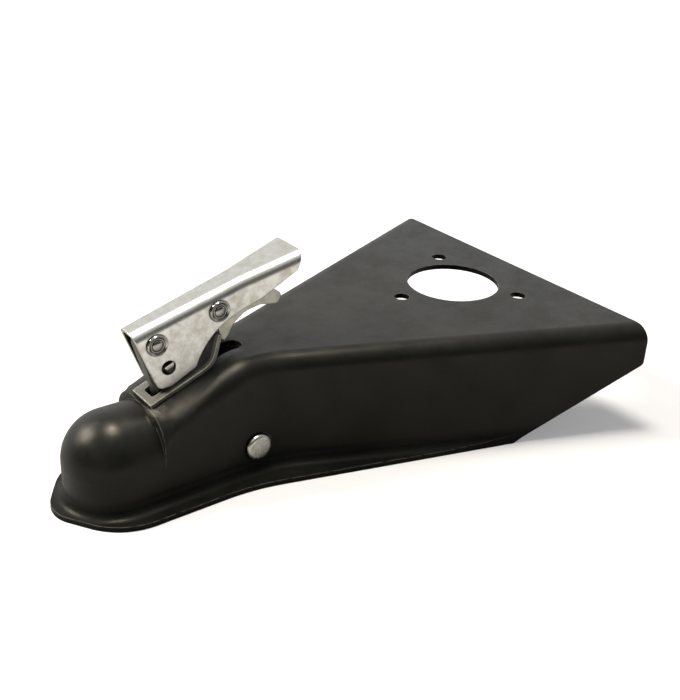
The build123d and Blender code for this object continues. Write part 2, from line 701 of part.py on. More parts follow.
def coil(mean_radius, wire_radius, pitch, turns, leg=0.0):
    """Helical wire round the local Z axis from its origin plane, with straight legs at both ends."""
    path = Helix(pitch=pitch, height=pitch * turns, radius=mean_radius)
    section = RegularPolygon(wire_radius, WIRE_SIDES)
    wire = sweep(Plane(path @ 0, z_dir=path % 0) * section, path=path)
    if leg:
        wire = wire + extrude(Plane(path @ 0, z_dir=-(path % 0)) * section, leg)
        wire = wire + extrude(Plane(path @ 1, z_dir=path % 1) * section, leg)
    return wire


def seat_station():
    """Station at which the bolt's axis meets the lower face of the spring seat."""
    slope = tan(radians(RAMP_ANGLE))
    lean = tan(bolt_lean())
    height = LEVER_PIVOT_Z - ramp_height(LEVER_PIVOT_X, SHEET + SEAT_HEIGHT)
    return LEVER_PIVOT_X + height * lean / (1 + lean * slope)


def clamp_spring():
    """Compression spring round the bolt, its wire ends at the front between seat and clamp."""
    lean = bolt_lean()
    tilt = radians(RAMP_ANGLE) - lean
    half_wire = CLAMP_SPRING_WIRE + SIDE_PLAY
    clamp_top = max(CLAMP_WEB_TOP, CLAMP_CUP_TOP)
    bottom = bolt_depth(clamp_top + CLAMP_SPRING_RADIUS * sin(lean) + half_wire)
    top = (seat_station() - LEVER_PIVOT_X) / sin(lean)
    top = top + CLAMP_SPRING_RADIUS * tan(tilt) + half_wire / cos(tilt)
    pitch = (bottom - top) / CLAMP_SPRING_TURNS
    wire = coil(CLAMP_SPRING_RADIUS, CLAMP_SPRING_WIRE, pitch, CLAMP_SPRING_TURNS)
    return on_bolt(bottom) * Rot(0, 0, 180) * wire


def spring_seat():
    """Slotted plate that lies against the underside of the ramp."""
    lean = radians(RAMP_ANGLE)
    x = seat_station()
    spot = (x, 0, ramp_height(x, SHEET + SEAT_HEIGHT))
    lower_face = Plane(spot, x_dir=(cos(lean), 0, sin(lean)), z_dir=(-sin(lean), 0, cos(lean)))
    slot = RectangleRounded(2 * SEAT_SLOT_HALF, 2 * (BOLT_HALF_THICKNESS + LOOSE_FIT), SEAT_SLOT_RADIUS)
    plate = RectangleRounded(2 * SEAT_HALF_LENGTH, 2 * SEAT_HALF_WIDTH, SEAT_CORNER) - slot
    return extrude(lower_face * plate, SEAT_HEIGHT)


def trigger_outline():
    """Side view of the trigger: eye, toe and finger end."""
    pivot = Pos(TRIGGER_PIVOT_X, 0, TRIGGER_PIVOT_Z)
    toe_x, toe_z = TRIGGER_TOE
    outline = side_face(
        [
            (-TRIGGER_EYE_RADIUS / 2, 0),
            TRIGGER_SHIN,
            (toe_x - TRIGGER_TOE_HALF, toe_z + TRIGGER_TOE_HALF),
            TRIGGER_TOE,
            (toe_x + TRIGGER_TOE_HALF, toe_z + TRIGGER_TOE_HALF),
            TRIGGER_HEEL,
            TRIGGER_BELLY,
            TRIGGER_NECK,
            TRIGGER_FINGER_LOW,
            TRIGGER_FINGER_END,
            TRIGGER_FINGER_HIGH,
            (0, TRIGGER_EYE_RADIUS),
        ]
    )
    finger = [TRIGGER_FINGER_LOW, TRIGGER_FINGER_END, TRIGGER_FINGER_HIGH]
    outline = round_at(outline, finger, TRIGGER_FINGER_RADIUS)
    outline = round_at(outline, [TRIGGER_BELLY], TRIGGER_BELLY_RADIUS)
    return pivot * (outline + SIDE * Circle(TRIGGER_EYE_RADIUS))


def trigger():
    """Folded trigger: two cheeks joined by a finger pad along the lower rear edge."""
    outline = trigger_outline()
    inner = TRIGGER_HALF_WIDTH - TRIGGER_SHEET
    body = both_sides(outline, TRIGGER_HALF_WIDTH)
    raised = Pos(0, 0, TRIGGER_SHEET) * both_sides(outline, inner)
    high = 2 * TRIGGER_PIVOT_Z
    reach = TRIGGER_PIVOT_X + TRIGGER_PAD_START
    front = Pos(reach / 2, 0, high / 2) * Box(reach, 2 * inner, 2 * high)
    above = Pos(reach, 0, TRIGGER_PIVOT_Z + high / 2) * Box(2 * reach, 2 * inner, high)
    body = body - raised - front - above
    bore = trigger_sleeve_radius() + RUNNING_FIT
    return body - cross_rod(TRIGGER_PIVOT_X, TRIGGER_PIVOT_Z, bore, -REACH, REACH)


def trigger_sleeve_radius():
    """Outer radius of the trigger's sleeve."""
    return RIVET_RADIUS + TRIGGER_SLEEVE_WALL


def trigger_sleeve():
    """Sleeve on the trigger rivet between the lever walls."""
    radius = trigger_sleeve_radius()
    half = lever_half_width(TRIGGER_PIVOT_X - radius) - LEVER_SHEET / cos(lever_taper())
    tube = cross_rod(TRIGGER_PIVOT_X, TRIGGER_PIVOT_Z, radius, -half, half)
    return tube - cross_rod(TRIGGER_PIVOT_X, TRIGGER_PIVOT_Z, RIVET_RADIUS, -half, half)


def trigger_spring():
    """Torsion spring round the trigger's sleeve, one leg on the trigger and one under the web."""
    mean = trigger_sleeve_radius() + LOOSE_FIT + TRIGGER_SPRING_WIRE
    pitch = 2 * TRIGGER_SPRING_WIRE + RUNNING_FIT
    wire = coil(mean, TRIGGER_SPRING_WIRE, pitch, TRIGGER_SPRING_TURNS, TRIGGER_SPRING_LEG)
    start = (TRIGGER_PIVOT_X, pitch * TRIGGER_SPRING_TURNS / 2, TRIGGER_PIVOT_Z)
    return Plane(start, x_dir=(-lever_slope(), 0, 1), z_dir=(0, -1, 0)) * wire


NODES = {
    "coupler_body": coupler_body(),
    "clamp_pivot_pin": clamp_pivot_pin(),
    "pivot_spacer_left": pivot_spacer(-1),
    "pivot_spacer_right": pivot_spacer(1),
    "channel_slide": channel_slide(),
    "latch_lever": latch_lever(),
    "lever_rivet": rivet(LEVER_PIVOT_X, LEVER_PIVOT_Z),
    "trigger_rivet": rivet(TRIGGER_PIVOT_X, TRIGGER_PIVOT_Z),
    "lever_spacer_left": lever_spacer(-1),
    "lever_spacer_right": lever_spacer(1),
    "draw_bolt": draw_bolt(),
    "ball_clamp": ball_clamp(),
    "rocker_washer": rocker_washer(),
    "nut_washer": nut_washer(),
    "lock_nut": lock_nut(),
    "clamp_spring": clamp_spring(),
    "spring_seat": spring_seat(),
    "trigger": trigger(),
    "trigger_sleeve": trigger_sleeve(),
    "trigger_spring": trigger_spring(),
}

os.makedirs("parts", exist_ok=True)
for name, shape in NODES.items():
    export_step(shape, f"parts/{name}.step")
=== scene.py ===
import logging
import math
from dataclasses import dataclass
from enum import Enum
from typing import Dict, List, Optional, Sequence, Tuple, Union

import bpy
from mathutils import Matrix, Vector


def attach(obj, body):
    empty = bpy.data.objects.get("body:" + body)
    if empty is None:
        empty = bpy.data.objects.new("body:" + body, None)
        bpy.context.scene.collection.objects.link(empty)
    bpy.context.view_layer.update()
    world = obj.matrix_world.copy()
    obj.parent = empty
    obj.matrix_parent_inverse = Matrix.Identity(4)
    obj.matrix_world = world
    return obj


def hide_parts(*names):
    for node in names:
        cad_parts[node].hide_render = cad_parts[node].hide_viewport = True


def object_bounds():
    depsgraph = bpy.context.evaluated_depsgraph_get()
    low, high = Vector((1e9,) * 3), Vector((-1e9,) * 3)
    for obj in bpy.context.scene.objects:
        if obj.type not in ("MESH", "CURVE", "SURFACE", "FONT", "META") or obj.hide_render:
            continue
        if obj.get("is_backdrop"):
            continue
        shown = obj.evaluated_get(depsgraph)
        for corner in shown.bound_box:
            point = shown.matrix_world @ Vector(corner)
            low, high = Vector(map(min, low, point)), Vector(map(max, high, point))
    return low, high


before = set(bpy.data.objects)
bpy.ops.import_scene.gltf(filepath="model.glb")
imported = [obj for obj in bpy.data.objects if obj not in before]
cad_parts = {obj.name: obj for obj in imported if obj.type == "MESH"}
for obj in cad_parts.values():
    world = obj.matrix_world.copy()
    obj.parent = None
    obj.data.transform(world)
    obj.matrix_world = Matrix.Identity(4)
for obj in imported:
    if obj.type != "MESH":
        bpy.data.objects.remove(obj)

LOG = logging.getLogger("coupling_head")
MM = 0.001

Colour = Tuple[float, float, float]
Place = Tuple[float, float, float]
Range = Tuple[float, float]
Zone = Tuple[float, float, float, float]
Station = Tuple[float, float]
Ring = Tuple[float, float]
Profile = List[Ring]
Socket = bpy.types.NodeSocket
Feed = Union[Socket, float, Sequence[float]]


class Slot(Enum):
    """Material slots of the record that the finishes belong to."""

    BLACK_PAINT = "black_paint"
    PIN_ZINC = "pin_zinc"
    SPACER_STEEL = "spacer_steel"
    SLIDE_ZINC = "slide_zinc"
    LEVER_ZINC = "lever_zinc"
    RIVET_ZINC = "rivet_zinc"
    BOLT_ZINC = "bolt_zinc"
    CLAMP_ZINC = "clamp_zinc"
    SPRING_STEEL = "spring_steel"
    TRIGGER_ZINC = "trigger_zinc"


class Body(Enum):
    """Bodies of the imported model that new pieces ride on."""

    SHELL = "shell"
    BOLT = "bolt"
    LEVER = "lever"


class Axis(Enum):
    """Directions of the part."""

    LENGTH = "X"
    WIDTH = "Y"
    HEIGHT = "Z"


class Join(Enum):
    """Ways to join two values of a finish."""

    PLUS = "ADD"
    TIMES = "MULTIPLY"
    HIGHER = "MAXIMUM"


@dataclass(frozen=True)
class Grain:
    """Noise pattern: size of a blotch in metres, octaves, their weight and the stretch."""

    size: float
    detail: float = 3.0
    rough: float = 0.5
    stretch: Place = (1.0, 1.0, 1.0)


class NodeSheet:
    """Node tree of a material or of the room, with short ways to add and link nodes."""

    edge_turn: Range = (0.99, 0.86)
    edge_samples: int = 6
    round_samples: int = 12
    shade_samples: int = 8
    # The Mix node repeats its socket names, so its two inputs and its output go by number.
    mixed_numbers: Tuple[int, int, int] = (2, 3, 0)
    mixed_colours: Tuple[int, int, int] = (6, 7, 2)

    def __init__(self, owner: bpy.types.ID, coordinates: str = "Object") -> None:
        """Starts with an empty node tree.

        Args:
            owner: New material or world.
            coordinates: Name of the coordinates that the patterns read.
        """
        self.owner = owner
        owner.use_nodes = True
        self.tree = owner.node_tree
        self.tree.nodes.clear()
        self.place = self.add("ShaderNodeTexCoord").outputs[coordinates]

    def add(self, kind: str, **inputs: Feed) -> bpy.types.Node:
        """Adds a node and fills its inputs by name.

        Args:
            kind: Type name of the node.
            inputs: Values or sockets for its inputs, with _ for a space.

        Returns:
            The new node.
        """
        node = self.tree.nodes.new(kind)
        for label, value in inputs.items():
            self.plug(node.inputs[label.replace("_", " ")], value)
        return node

    def plug(self, socket: Socket, value: Feed) -> None:
        """Links a socket to an input, or sets the input's own value.

        Args:
            socket: Input to fill.
            value: Output socket, number or colour.
        """
        if isinstance(value, Socket):
            self.tree.links.new(value, socket)
        elif socket.type == "RGBA" and len(value) == 3:
            socket.default_value = (*value, 1.0)
        else:
            socket.default_value = value

    def noise(self, grain: Grain) -> Socket:
        """Adds noise of a given grain.

        Args:
            grain: The pattern.

        Returns:
            Socket with a value around one half.
        """
        scale = tuple(1.0 / (grain.size * share) for share in grain.stretch)
        mapped = self.add("ShaderNodeMapping", Vector=self.place, Scale=scale)
        return self.add("ShaderNodeTexNoise", Vector=mapped.outputs["Vector"], Scale=1.0,
                        Detail=grain.detail, Roughness=grain.rough).outputs["Fac"]

    def spread(self, value: Socket, low: float, high: float,
               to_low: float = 0.0, to_high: float = 1.0, eased: bool = True) -> Socket:
        """Maps a range of a value onto another range.

        Args:
            value: Socket to map.
            low: Input at which the result is to_low.
            high: Input at which the result is to_high.
            to_low: Result at low.
            to_high: Result at high.
            eased: Whether the result leaves and reaches its ends gently.

        Returns:
            Socket with the mapped value.
        """
        node = self.add("ShaderNodeMapRange", Value=value, From_Min=low, From_Max=high,
                        To_Min=to_low, To_Max=to_high)
        if eased:
            node.interpolation_type = "SMOOTHSTEP"
        return node.outputs["Result"]

    def join(self, how: Join, first: Feed, second: Feed) -> Socket:
        """Joins two values.

        Args:
            how: Way to join them.
            first: Socket or number.
            second: Socket or number.

        Returns:
            Socket with the result.
        """
        node = self.tree.nodes.new("ShaderNodeMath")
        node.operation = how.value
        self.plug(node.inputs[0], first)
        self.plug(node.inputs[1], second)
        return node.outputs["Value"]

    def times(self, first: Feed, second: Feed) -> Socket:
        """Gives the product of two values."""
        return self.join(Join.TIMES, first, second)

    def lessened(self, value: Socket, loss: Socket) -> Socket:
        """Takes a share off a value, the share given below 0."""
        return self.times(value, self.join(Join.PLUS, loss, 1.0))

    def blend(self, share: Feed, first: Feed, second: Feed) -> Socket:
        """Mixes two colours.

        Args:
            share: Socket or number, 0 for the first colour and 1 for the second.
            first: Colour or socket.
            second: Colour or socket.

        Returns:
            Socket with the mixed colour.
        """
        node = self.add("ShaderNodeMix", Factor=share)
        node.data_type = "RGBA"
        start, end, result = self.mixed_colours
        self.plug(node.inputs[start], first)
        self.plug(node.inputs[end], second)
        return node.outputs[result]

    def between(self, share: Socket, first: Feed, second: Feed) -> Socket:
        """Mixes two numbers.

        Args:
            share: Socket, 0 for the first number and 1 for the second.
            first: Number or socket.
            second: Number or socket.

        Returns:
            Socket with the mixed number.
        """
        node = self.add("ShaderNodeMix", Factor=share)
        start, end, result = self.mixed_numbers
        self.plug(node.inputs[start], first)
        self.plug(node.inputs[end], second)
        return node.outputs[result]

    def along(self, first: Feed, second: Feed) -> Socket:
        """Measures one direction along another.

        Args:
            first: Direction or socket.
            second: Direction or socket.

        Returns:
            Socket with their scalar product.
        """
        node = self.tree.nodes.new("ShaderNodeVectorMath")
        node.operation = "DOT_PRODUCT"
        self.plug(node.inputs[0], first)
        self.plug(node.inputs[1], second)
        return node.outputs["Value"]

    def apart(self) -> Socket:
        """Measures how far a point lies from the origin.

        Returns:
            Socket with the distance.
        """
        node = self.add("ShaderNodeVectorMath", Vector=self.place)
        node.operation = "LENGTH"
        return node.outputs["Value"]

    def on_axis(self, axis: Axis) -> Socket:
        """Reads the place of a point along an axis."""
        return self.add("ShaderNodeSeparateXYZ", Vector=self.place).outputs[axis.value]

    def within(self, axis: Axis, start: float, full: float) -> Socket:
        """Marks the points beyond a place along an axis.

        Args:
            axis: The axis.
            start: Place in metres at which the result leaves 0.
            full: Place in metres at which it reaches 1.

        Returns:
            Socket with the mark.
        """
        return self.spread(self.on_axis(axis), start, full)

    def rounded(self, reach: float, samples: int) -> Socket:
        """Gives the normal of the surface with its edges rounded.

        Args:
            reach: Radius of the rounding in metres.
            samples: Number of looks around each point.

        Returns:
            Socket with the normal.
        """
        bevel = self.add("ShaderNodeBevel", Radius=reach)
        bevel.samples = samples
        return bevel.outputs["Normal"]

    def edges(self, reach: float) -> Socket:
        """Finds how near a point is to a sharp edge.

        Args:
            reach: Distance from the edge in metres.

        Returns:
            Socket that rises from 0 on flat faces to 1 at edges.
        """
        plain = self.add("ShaderNodeNewGeometry").outputs["Normal"]
        turn = self.along(self.rounded(reach, self.edge_samples), plain)
        return self.spread(turn, *self.edge_turn)

    def softened(self, reach: float, share: Optional[Socket] = None) -> Socket:
        """Rounds the bends of the shaded surface.

        Args:
            reach: Radius of the rounding in metres.
            share: Socket that is 1 where the bends are rounded, or none for everywhere.

        Returns:
            Socket with the normal.
        """
        soft = self.rounded(reach, self.round_samples)
        if share is None:
            return soft
        return self.blend(share, self.add("ShaderNodeNewGeometry").outputs["Normal"], soft)

    def recess(self, reach: float, low: float, high: float, most: float) -> Socket:
        """Finds how deep a point lies in a corner or a hollow.

        Args:
            reach: Size of the hollows in metres.
            low: Share of open sky at which the result is full.
            high: Share of open sky at which the result is 0.
            most: Full result.

        Returns:
            Socket that goes from 0 in the open to most in a hollow.
        """
        shade = self.add("ShaderNodeAmbientOcclusion", Distance=reach)
        shade.samples = self.shade_samples
        return self.spread(shade.outputs["AO"], low, high, most, 0.0)

    def height(self, value: Socket, depth: float, strength: float,
               under: Optional[Socket] = None) -> Socket:
        """Raises the surface by a value.

        Args:
            value: Socket with the height, 0 to 1.
            depth: Height of a value of 1 in metres.
            strength: Share of the height that shows.
            under: Normal socket of a coarser form below this one.

        Returns:
            Socket with the bumped normal.
        """
        node = self.add("ShaderNodeBump", Height=value, Distance=depth, Strength=strength)
        if under is not None:
            self.plug(node.inputs["Normal"], under)
        return node.outputs["Normal"]

    def close(self, **inputs: Feed) -> bpy.types.Material:
        """Adds the surface shader and the output.

        Args:
            inputs: Values or sockets for the shader's inputs, with _ for a space.

        Returns:
            The finished material.
        """
        shader = self.add("ShaderNodeBsdfPrincipled", **inputs)
        self.add("ShaderNodeOutputMaterial", Surface=shader.outputs["BSDF"])
        return self.owner


@dataclass(frozen=True)
class SatinPaint:
    """Satin black coat on pressed sheet, thin on the cut edges. Sizes are in metres."""

    slot: Slot
    deep: Colour = (0.0033, 0.0039, 0.0034)
    faded: Colour = (0.0068, 0.0075, 0.0065)
    fading: Grain = Grain(0.045, 4.0)
    fading_span: Range = (0.35, 0.68)
    dust: Colour = (0.060, 0.055, 0.048)
    grit: Grain = Grain(0.0011, 2.0, 0.6)
    grit_span: Range = (0.66, 0.78)
    grit_share: float = 0.22
    worn: Colour = (0.16, 0.15, 0.13)
    wear: Grain = Grain(0.006, 4.0, 0.65)
    wear_span: Range = (0.34, 0.54)
    wear_reach: float = 0.0008
    wear_share: float = 0.8
    drawn: Grain = Grain(0.0022, 3.0, 0.55, (1.0, 1.0, 22.0))
    drawn_depth: float = 0.00003
    drawn_strength: float = 0.5
    drawn_rough: Zone = (0.3, 0.7, -0.03, 0.03)
    peel: Grain = Grain(0.0009, 2.0, 0.5)
    peel_depth: float = 0.00004
    peel_strength: float = 0.45
    haze: Grain = Grain(0.02, 5.0, 0.6)
    haze_rough: Zone = (0.3, 0.75, 0.32, 0.48)
    neck_front: Range = (0.015, 0.021)
    neck_rear: Range = (0.090, 0.072)
    neck_foot: Range = (-0.010, 0.0)
    neck_round: float = 0.009
    gloss: Zone = (0.12, 0.52, 0.23, 0.42)
    gloss_tint: Colour = (1.0, 0.94, 0.83)
    rim_top: Range = (-0.012, -0.021)
    rim_edge: Range = (-0.0240, -0.0232)
    rim_dull: float = 0.62
    # Painted shade: less reflection where creases see little open sky.
    crease_reach: float = 0.007
    crease_open: Range = (0.55, 0.95)
    crease_shade: float = 0.85

    def colour(self, sheet: NodeSheet) -> Socket:
        """Fades and dusts the black, and wears it off the edges.

        Args:
            sheet: Node tree of the finish.

        Returns:
            Socket with the colour.
        """
        patch = sheet.spread(sheet.noise(self.fading), *self.fading_span)
        colour = sheet.blend(patch, self.deep, self.faded)
        grit = sheet.spread(sheet.noise(self.grit), *self.grit_span)
        colour = sheet.blend(sheet.times(grit, self.grit_share), colour, self.dust)
        breaks = sheet.spread(sheet.noise(self.wear), *self.wear_span)
        rub = sheet.times(sheet.edges(self.wear_reach), breaks)
        return sheet.blend(sheet.times(rub, self.wear_share), colour, self.worn)

    def neck(self, sheet: NodeSheet) -> Socket:
        """Marks the neck behind the dome, whose bends are blended.

        Args:
            sheet: Node tree of the finish.

        Returns:
            Socket that is 1 on the neck.
        """
        length = sheet.times(sheet.within(Axis.LENGTH, *self.neck_front),
                             sheet.within(Axis.LENGTH, *self.neck_rear))
        return sheet.times(length, sheet.within(Axis.HEIGHT, *self.neck_foot))

    def shine(self, sheet: NodeSheet) -> Socket:
        """Sets the gloss, less on top of the rim, and less in creases as painted shade.

        Args:
            sheet: Node tree of the finish.

        Returns:
            Socket with the gloss.
        """
        turned = sheet.add("ShaderNodeLayerWeight").outputs["Facing"]
        gloss = sheet.spread(turned, *self.gloss)
        rim = sheet.times(sheet.within(Axis.HEIGHT, *self.rim_top),
                          sheet.within(Axis.HEIGHT, *self.rim_edge))
        gloss = sheet.lessened(gloss, sheet.times(rim, -self.rim_dull))
        # Painted shade: reflection lowered in creases.
        crease = sheet.recess(self.crease_reach, *self.crease_open, -self.crease_shade)
        return sheet.lessened(gloss, crease)

    def material(self) -> bpy.types.Material:
        """Builds the node material.

        Returns:
            The material.
        """
        sheet = NodeSheet(bpy.data.materials.new(self.slot.value + "_finish"))
        colour = self.colour(sheet)
        drawn = sheet.noise(self.drawn)
        rough = sheet.spread(sheet.noise(self.haze), *self.haze_rough)
        rough = sheet.join(Join.PLUS, rough, sheet.spread(drawn, *self.drawn_rough))
        normal = sheet.softened(self.neck_round, self.neck(sheet))
        normal = sheet.height(drawn, self.drawn_depth, self.drawn_strength, normal)
        normal = sheet.height(sheet.noise(self.peel), self.peel_depth, self.peel_strength, normal)
        return sheet.close(Base_Color=colour, Roughness=rough, Normal=normal,
                           Specular_IOR_Level=self.shine(sheet), Specular_Tint=self.gloss_tint)


@dataclass(frozen=True)
class ZincPlate:
    """Zinc plating, clouded by the bath, lighter on edges, with painted shade in grooves and
    hollows. Sizes are in metres.
    """

    slot: Slot
    pale: Colour = (0.80, 0.80, 0.775)
    cloudy: Colour = (0.58, 0.575, 0.53)
    clouds: Grain = Grain(0.0050, 4.0, 0.60)
    clouds_span: Range = (0.32, 0.70)
    clouded: float = 0.75
    stain: Colour = (0.55, 0.53, 0.42)
    bath: Grain = Grain(0.010, 4.0, 0.62)
    bath_span: Range = (0.42, 0.72)
    stained: float = 0.6
    speck: Colour = (0.33, 0.32, 0.27)
    specks: Grain = Grain(0.0008, 3.0, 0.7)
    specks_span: Zone = (0.58, 0.74, 0.0, 0.6)
    # Colour of the lighter edges: partly wear of the plating, partly a painted highlight.
    edge_wear_and_highlight: Colour = (0.86, 0.84, 0.79)
    edge: float = 0.0006
    rub: float = 0.7
    # Dark colour of the painted shade that grooves and hollows get where they see little open sky.
    painted_shade: Colour = (0.040, 0.038, 0.033)
    groove_reach: float = 0.0020
    groove_span: float = 0.42
    groove_open: float = 0.72
    grooved: float = 0.8
    hollow_reach: float = 0.022
    hollow_open: Range = (0.46, 0.78)
    hollow: float = 0.95
    gloss: float = 0.30
    gloss_spread: Range = (-0.02, 0.04)
    scratch: Grain = Grain(0.0006, 2.0, 0.5, (16.0, 1.0, 1.0))
    scratch_rough: Zone = (0.55, 0.75, 0.0, 0.05)
    scratch_depth: float = 0.000003
    ripple: Grain = Grain(0.0024)
    ripple_depth: float = 0.000008
    relief: float = 0.5
    metal: float = 1.0

    def darkened_in_places(self, sheet: NodeSheet, colour: Socket) -> Socket:
        """Leaves the colour as it is, with no darkening in set places."""
        return colour

    def colour(self, sheet: NodeSheet, clouds: Socket) -> Socket:
        """Clouds and stains the zinc, darkens it in set places, lightens its edges and paints
        shade into its grooves and hollows.

        Args:
            sheet: Node tree of the finish.
            clouds: Share of the cloudy colour.

        Returns:
            Socket with the colour.
        """
        colour = sheet.blend(clouds, self.pale, self.cloudy)
        bath = sheet.spread(sheet.noise(self.bath), *self.bath_span, 0.0, self.stained)
        colour = sheet.blend(bath, colour, self.stain)
        specks = sheet.spread(sheet.noise(self.specks), *self.specks_span)
        colour = self.darkened_in_places(sheet, sheet.blend(specks, colour, self.speck))
        # Lighter edges: partly wear of the plating, partly a painted edge highlight.
        colour = sheet.blend(sheet.times(sheet.edges(self.edge), self.rub), colour, self.edge_wear_and_highlight)
        # Painted shade: grooves and deep hollows darkened by occlusion.
        groove = sheet.recess(self.groove_reach, self.groove_open - self.groove_span,
                              self.groove_open, self.grooved)
        colour = sheet.blend(groove, colour, self.painted_shade)
        deep = sheet.recess(self.hollow_reach, *self.hollow_open, self.hollow)
        return sheet.blend(deep, colour, self.painted_shade)

    def material(self) -> bpy.types.Material:
        """Builds the node material.

        Returns:
            The material.
        """
        sheet = NodeSheet(bpy.data.materials.new(self.slot.value + "_finish"))
        clouds = sheet.spread(sheet.noise(self.clouds), *self.clouds_span, 0.0, self.clouded)
        colour = self.colour(sheet, clouds)
        smooth, dull = (self.gloss + change for change in self.gloss_spread)
        rough = sheet.spread(clouds, 0.0, self.clouded, smooth, dull)
        scratch = sheet.noise(self.scratch)
        rough = sheet.join(Join.PLUS, rough, sheet.spread(scratch, *self.scratch_rough))
        normal = sheet.softened(self.edge)
        normal = sheet.height(sheet.noise(self.ripple), self.ripple_depth, self.relief, normal)
        normal = sheet.height(scratch, self.scratch_depth, self.relief, normal)
        return sheet.close(Base_Color=colour, Roughness=rough, Normal=normal, Metallic=self.metal)


@dataclass(frozen=True)
class StripZinc(ZincPlate):
    """Zinc of the strip, with painted shade between the lever's walls, and darker towards the
    front.
    """

    # Painted shade on the strip under the lever, between its walls.
    under_lever_half_width: float = 0.0085
    under_lever_fade: float = 0.0012
    under_lever_front: Range = (0.027, 0.0306)
    under_lever_shade: float = 0.85
    # Darkening towards the front of the strip.
    dull_front: Range = (0.046, 0.027)
    dull: float = 0.42

    def darkened_in_places(self, sheet: NodeSheet, colour: Socket) -> Socket:
        """Paints shade on the strip between the lever's walls and darkens it towards the front.

        Args:
            sheet: Node tree of the finish.
            colour: Colour of the clean plating.

        Returns:
            Socket with the soiled colour.
        """
        # Darker towards the front.
        front = sheet.within(Axis.LENGTH, *self.dull_front)
        colour = sheet.blend(sheet.times(front, self.dull), colour, self.painted_shade)
        # Painted shade under the lever, between its walls.
        outer, inner = self.under_lever_half_width, self.under_lever_half_width - self.under_lever_fade
        under_lever = sheet.times(sheet.within(Axis.WIDTH, -outer, -inner),
                           sheet.within(Axis.WIDTH, outer, inner))
        under_lever = sheet.times(under_lever, sheet.within(Axis.LENGTH, *self.under_lever_front))
        return sheet.blend(sheet.times(under_lever, self.under_lever_shade), colour, self.painted_shade)


@dataclass(frozen=True)
class PlainSteel:
    """Oiled bare steel with darker heat tints."""

    slot: Slot
    clean: Colour = (0.36, 0.35, 0.33)
    dark: Colour = (0.17, 0.16, 0.15)
    tints: Grain = Grain(0.004, 4.0, 0.6)
    tints_span: Range = (0.35, 0.7)
    bright: Colour = (0.55, 0.54, 0.52)
    edge: float = 0.0004
    rub: float = 0.5
    gloss: float = 0.34
    gloss_loss: float = 0.14
    skin: Grain = Grain(0.0009, 3.0, 0.6)
    skin_depth: float = 0.00002
    relief: float = 0.5
    metal: float = 1.0

    def material(self) -> bpy.types.Material:
        """Builds the node material.

        Returns:
            The material.
        """
        sheet = NodeSheet(bpy.data.materials.new(self.slot.value + "_finish"))
        tint = sheet.spread(sheet.noise(self.tints), *self.tints_span)
        colour = sheet.blend(tint, self.clean, self.dark)
        colour = sheet.blend(sheet.times(sheet.edges(self.edge), self.rub), colour, self.bright)
        rough = sheet.spread(tint, 0.0, 1.0, self.gloss, self.gloss + self.gloss_loss)
        normal = sheet.height(sheet.noise(self.skin), self.skin_depth, self.relief)
        return sheet.close(Base_Color=colour, Roughness=rough, Normal=normal, Metallic=self.metal)


Finish = Union[SatinPaint, ZincPlate, PlainSteel]


@dataclass
class Finishes:
    """The set of finishes, made once and handed to the pieces by slot."""

    kinds: Tuple[Finish, ...] = (
        SatinPaint(Slot.BLACK_PAINT),
        ZincPlate(Slot.PIN_ZINC, pale=(0.84, 0.83, 0.79), cloudy=(0.60, 0.59, 0.55), gloss=0.28),
        PlainSteel(Slot.SPACER_STEEL),
        StripZinc(Slot.SLIDE_ZINC, pale=(0.24, 0.235, 0.195), cloudy=(0.18, 0.175, 0.14),
                  stain=(0.16, 0.155, 0.11), gloss=0.5, grooved=0.2, hollow=0.1,
                  edge=0.0008, metal=0.3),
        ZincPlate(Slot.LEVER_ZINC),
        # Rivet heads get strong painted shade in their grooves.
        ZincPlate(Slot.RIVET_ZINC, pale=(0.40, 0.395, 0.37), cloudy=(0.30, 0.295, 0.27),
                  stain=(0.27, 0.26, 0.22), gloss=0.15, stained=0.3, grooved=0.97,
                  groove_open=0.92),
        # The bolt is kept dark as painted shade where it shows inside the lever.
        ZincPlate(Slot.BOLT_ZINC, pale=(0.20, 0.195, 0.18), cloudy=(0.14, 0.135, 0.125),
                  stain=(0.12, 0.11, 0.09), gloss=0.46),
        ZincPlate(Slot.CLAMP_ZINC, pale=(0.58, 0.57, 0.52), cloudy=(0.42, 0.41, 0.36)),
        PlainSteel(Slot.SPRING_STEEL, clean=(0.42, 0.41, 0.40)),
        ZincPlate(Slot.TRIGGER_ZINC, pale=(0.58, 0.57, 0.50), cloudy=(0.46, 0.45, 0.38),
                  stain=(0.42, 0.40, 0.30)),
    )

    def __post_init__(self) -> None:
        """Builds every material of the set."""
        self.made: Dict[Slot, bpy.types.Material] = {}
        for finish in self.kinds:
            self.made[finish.slot] = finish.material()

    def dress(self, piece: bpy.types.Object, slot: Slot) -> None:
        """Gives a piece the finish of a slot.

        Args:
            piece: Object to dress.
            slot: Slot of the finish.
        """
        piece.data.materials.clear()
        piece.data.materials.append(self.made[slot])


@dataclass(frozen=True)
class Coil:
    """Sizes of a wound wire in millimetres, and its corners and steps for each turn."""

    mean: float
    wire: float
    pitch: float
    turns: float
    leg: float = 0.0
    sides: int = 14
    steps: int = 36


